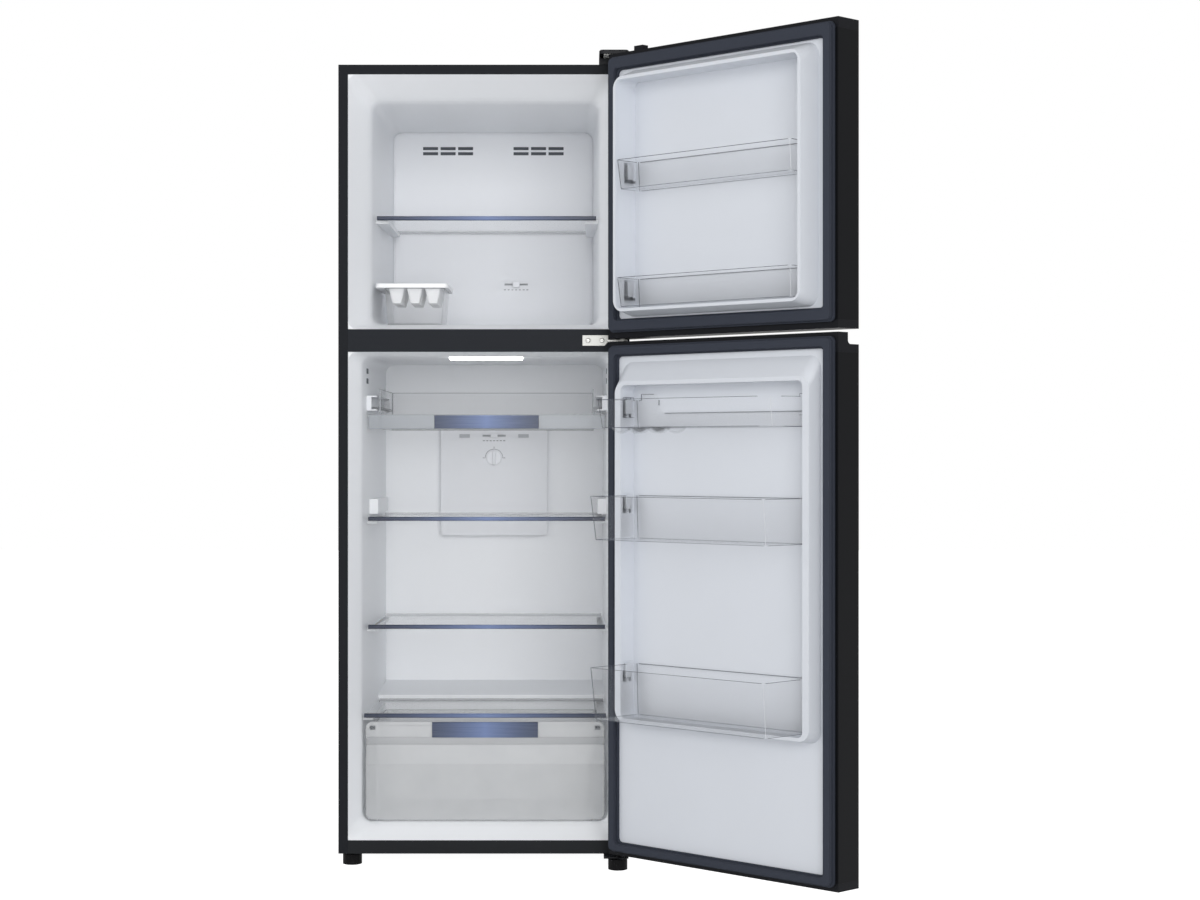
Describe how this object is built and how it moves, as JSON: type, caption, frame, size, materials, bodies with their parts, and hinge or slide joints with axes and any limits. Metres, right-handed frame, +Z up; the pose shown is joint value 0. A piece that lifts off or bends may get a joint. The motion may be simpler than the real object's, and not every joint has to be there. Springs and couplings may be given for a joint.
{
  "type": "top freezer refrigerator",
  "caption": "Tall free-standing refrigerator with a freezer above and a fridge below, two right-hung doors standing open, glass shelves, drawers and clear door bins.",
  "frame": {"origin": "on the floor, straight below the middle of the cabinet's front edge", "axes": "+X to the right seen from the front, +Y from the front to the back, +Z up"},
  "size_m": [0.929, 1.0034, 1.52],
  "materials": {
    "cabinet_steel": "satin",
    "base_steel": "satin",
    "rear_steel": "matte",
    "foam": "matte",
    "liner_white": "satin",
    "cover_white": "satin",
    "fin_aluminium": "satin",
    "motor_grey": "matte",
    "fan_grey": "satin",
    "lamp_white": "gloss",
    "hinge_steel": "satin",
    "hinge_cover_black": "satin",
    "screw_steel": "satin",
    "compressor_black": "gloss",
    "grommet_rubber": "matte",
    "pan_grey": "matte",
    "tube_copper": "satin",
    "foot_black": "matte",
    "control_white": "satin",
    "shelf_glass": "polished",
    "shelf_trim": "gloss",
    "drawer_clear": "satin",
    "plate_slate": "gloss",
    "bin_clear": "gloss",
    "ice_white": "satin",
    "bucket_clear": "satin",
    "door_steel": "satin",
    "cap_black": "satin",
    "door_liner_white": "satin",
    "gasket_grey": "matte"
  },
  "bodies": {
    "cabinet": {"outer_shell": "cabinet_steel", "rear_panel": "rear_steel", "base_tray": "base_steel", "insulation": "foam", "freezer_liner": "liner_white", "fridge_liner": "liner_white", "mullion_rail": "cabinet_steel", "evaporator_cover": "cover_white", "evaporator": "fin_aluminium", "fan_motor": "motor_grey", "air_duct_cover": "cover_white", "lamp_lens": "lamp_white", "chiller_rails": "cover_white", "top_hinge": "hinge_steel", "top_hinge_cover": "hinge_cover_black", "middle_hinge": "hinge_steel", "bottom_hinge": "hinge_steel", "hinge_screws": "screw_steel", "compressor": "compressor_black", "compressor_mounts": "grommet_rubber", "evaporating_tray": "pan_grey", "refrigerant_tubes": "tube_copper", "machine_cover": "rear_steel"},
    "left_foot": {"left_foot": "foot_black"},
    "right_foot": {"right_foot": "foot_black"},
    "left_roller": {"left_roller": "foot_black"},
    "right_roller": {"right_roller": "foot_black"},
    "temperature_knob": {"temperature_knob": "control_white"},
    "airflow_slider": {"airflow_slider": "control_white"},
    "freezer_slider": {"freezer_slider": "control_white"},
    "ice_bucket": {"ice_bucket": "bucket_clear"},
    "ice_tray": {"ice_tray": "ice_white"},
    "freezer_bin_upper": {"freezer_bin_upper": "bin_clear"},
    "freezer_bin_lower": {"freezer_bin_lower": "bin_clear"},
    "fridge_bin_upper": {"fridge_bin_upper": "bin_clear"},
    "fridge_bin_middle": {"fridge_bin_middle": "bin_clear"},
    "fridge_bin_lower": {"fridge_bin_lower": "bin_clear"},
    "fan": {"fan_blade": "fan_grey"},
    "freezer_shelf": {"freezer_shelf_glass": "shelf_glass", "freezer_shelf_trim": "shelf_trim"},
    "upper_shelf": {"upper_shelf_glass": "shelf_glass", "upper_shelf_trim": "shelf_trim"},
    "lower_shelf": {"lower_shelf_glass": "shelf_glass", "lower_shelf_trim": "shelf_trim"},
    "crisper_cover": {"crisper_cover_glass": "shelf_glass", "crisper_cover_trim": "shelf_trim"},
    "crisper": {"crisper_drawer": "drawer_clear", "crisper_handle": "plate_slate"},
    "chiller": {"chiller_tray": "drawer_clear", "chiller_plate": "plate_slate"},
    "freezer_door": {"freezer_door_panel": "door_steel", "freezer_door_caps": "cap_black", "freezer_door_foam": "foam", "freezer_door_liner": "door_liner_white", "freezer_door_gasket": "gasket_grey"},
    "fridge_door": {"fridge_door_panel": "door_steel", "fridge_door_caps": "cap_black", "fridge_door_foam": "foam", "fridge_door_liner": "door_liner_white", "fridge_door_gasket": "gasket_grey"}
  },
  "joints": [
    {"name": "freezer_door_swing", "type": "hinge", "parent": "cabinet", "child": "freezer_door", "pos_m": [0.259, -0.037, 1.248], "axis": [0, 0, 1], "range_deg": [-135, 0]},
    {"name": "fridge_door_swing", "type": "hinge", "parent": "cabinet", "child": "fridge_door", "pos_m": [0.259, -0.037, 0.505], "axis": [0, 0, 1], "range_deg": [-135, 0]},
    {"name": "freezer_shelf_slide", "type": "slide", "parent": "cabinet", "child": "freezer_shelf", "axis": [0, -1, 0], "range_m": [0, 0.26]},
    {"name": "upper_shelf_slide", "type": "slide", "parent": "cabinet", "child": "upper_shelf", "axis": [0, -1, 0], "range_m": [0, 0.23]},
    {"name": "lower_shelf_slide", "type": "slide", "parent": "cabinet", "child": "lower_shelf", "axis": [0, -1, 0], "range_m": [0, 0.26]},
    {"name": "crisper_cover_slide", "type": "slide", "parent": "cabinet", "child": "crisper_cover", "axis": [0, -1, 0], "range_m": [0, 0.24]},
    {"name": "crisper_slide", "type": "slide", "parent": "cabinet", "child": "crisper", "axis": [0, -1, 0], "range_m": [0, 0.26]},
    {"name": "chiller_slide", "type": "slide", "parent": "cabinet", "child": "chiller", "axis": [0, -1, 0], "range_m": [0, 0.22]},
    {"name": "ice_bucket_slide", "type": "slide", "parent": "cabinet", "child": "ice_bucket", "axis": [0, -1, 0], "range_m": [0, 0.26]},
    {"name": "ice_tray_lift", "type": "slide", "parent": "ice_bucket", "child": "ice_tray", "axis": [0, 0, 1], "range_m": [0, 0.09]},
    {"name": "freezer_bin_upper_lift", "type": "slide", "parent": "freezer_door", "child": "freezer_bin_upper", "axis": [0, 0, 1], "range_m": [0, 0.03]},
    {"name": "freezer_bin_lower_lift", "type": "slide", "parent": "freezer_door", "child": "freezer_bin_lower", "axis": [0, 0, 1], "range_m": [0, 0.03]},
    {"name": "fridge_bin_upper_lift", "type": "slide", "parent": "fridge_door", "child": "fridge_bin_upper", "axis": [0, 0, 1], "range_m": [0, 0.012]},
    {"name": "fridge_bin_middle_lift", "type": "slide", "parent": "fridge_door", "child": "fridge_bin_middle", "axis": [0, 0, 1], "range_m": [0, 0.03]},
    {"name": "fridge_bin_lower_lift", "type": "slide", "parent": "fridge_door", "child": "fridge_bin_lower", "axis": [0, 0, 1], "range_m": [0, 0.03]},
    {"name": "knob_turn", "type": "hinge", "parent": "cabinet", "child": "temperature_knob", "pos_m": [0, 0.465, 0.763], "axis": [0, 1, 0], "range_deg": [-90, 90]},
    {"name": "airflow_slide", "type": "slide", "parent": "cabinet", "child": "airflow_slider", "axis": [1, 0, 0], "range_m": [-0.022, 0.022]},
    {"name": "freezer_slide", "type": "slide", "parent": "cabinet", "child": "freezer_slider", "axis": [1, 0, 0], "range_m": [-0.022, 0.022]},
    {"name": "fan_spin", "type": "hinge", "parent": "cabinet", "child": "fan", "pos_m": [0, 0.454, 1.352], "axis": [0, 1, 0], "continuous": true},
    {"name": "left_roller_spin", "type": "hinge", "parent": "cabinet", "child": "left_roller", "pos_m": [-0.235, 0.505, 0.011], "axis": [1, 0, 0], "continuous": true},
    {"name": "right_roller_spin", "type": "hinge", "parent": "cabinet", "child": "right_roller", "pos_m": [0.235, 0.505, 0.011], "axis": [1, 0, 0], "continuous": true},
    {"name": "left_foot_screw", "type": "hinge", "parent": "cabinet", "child": "left_foot", "pos_m": [-0.249, 0.03, 0.01], "axis": [0, 0, 1], "continuous": true},
    {"name": "right_foot_screw", "type": "hinge", "parent": "cabinet", "child": "right_foot", "pos_m": [0.25, -0.031, 0.01], "axis": [0, 0, 1], "continuous": true}
  ]
}
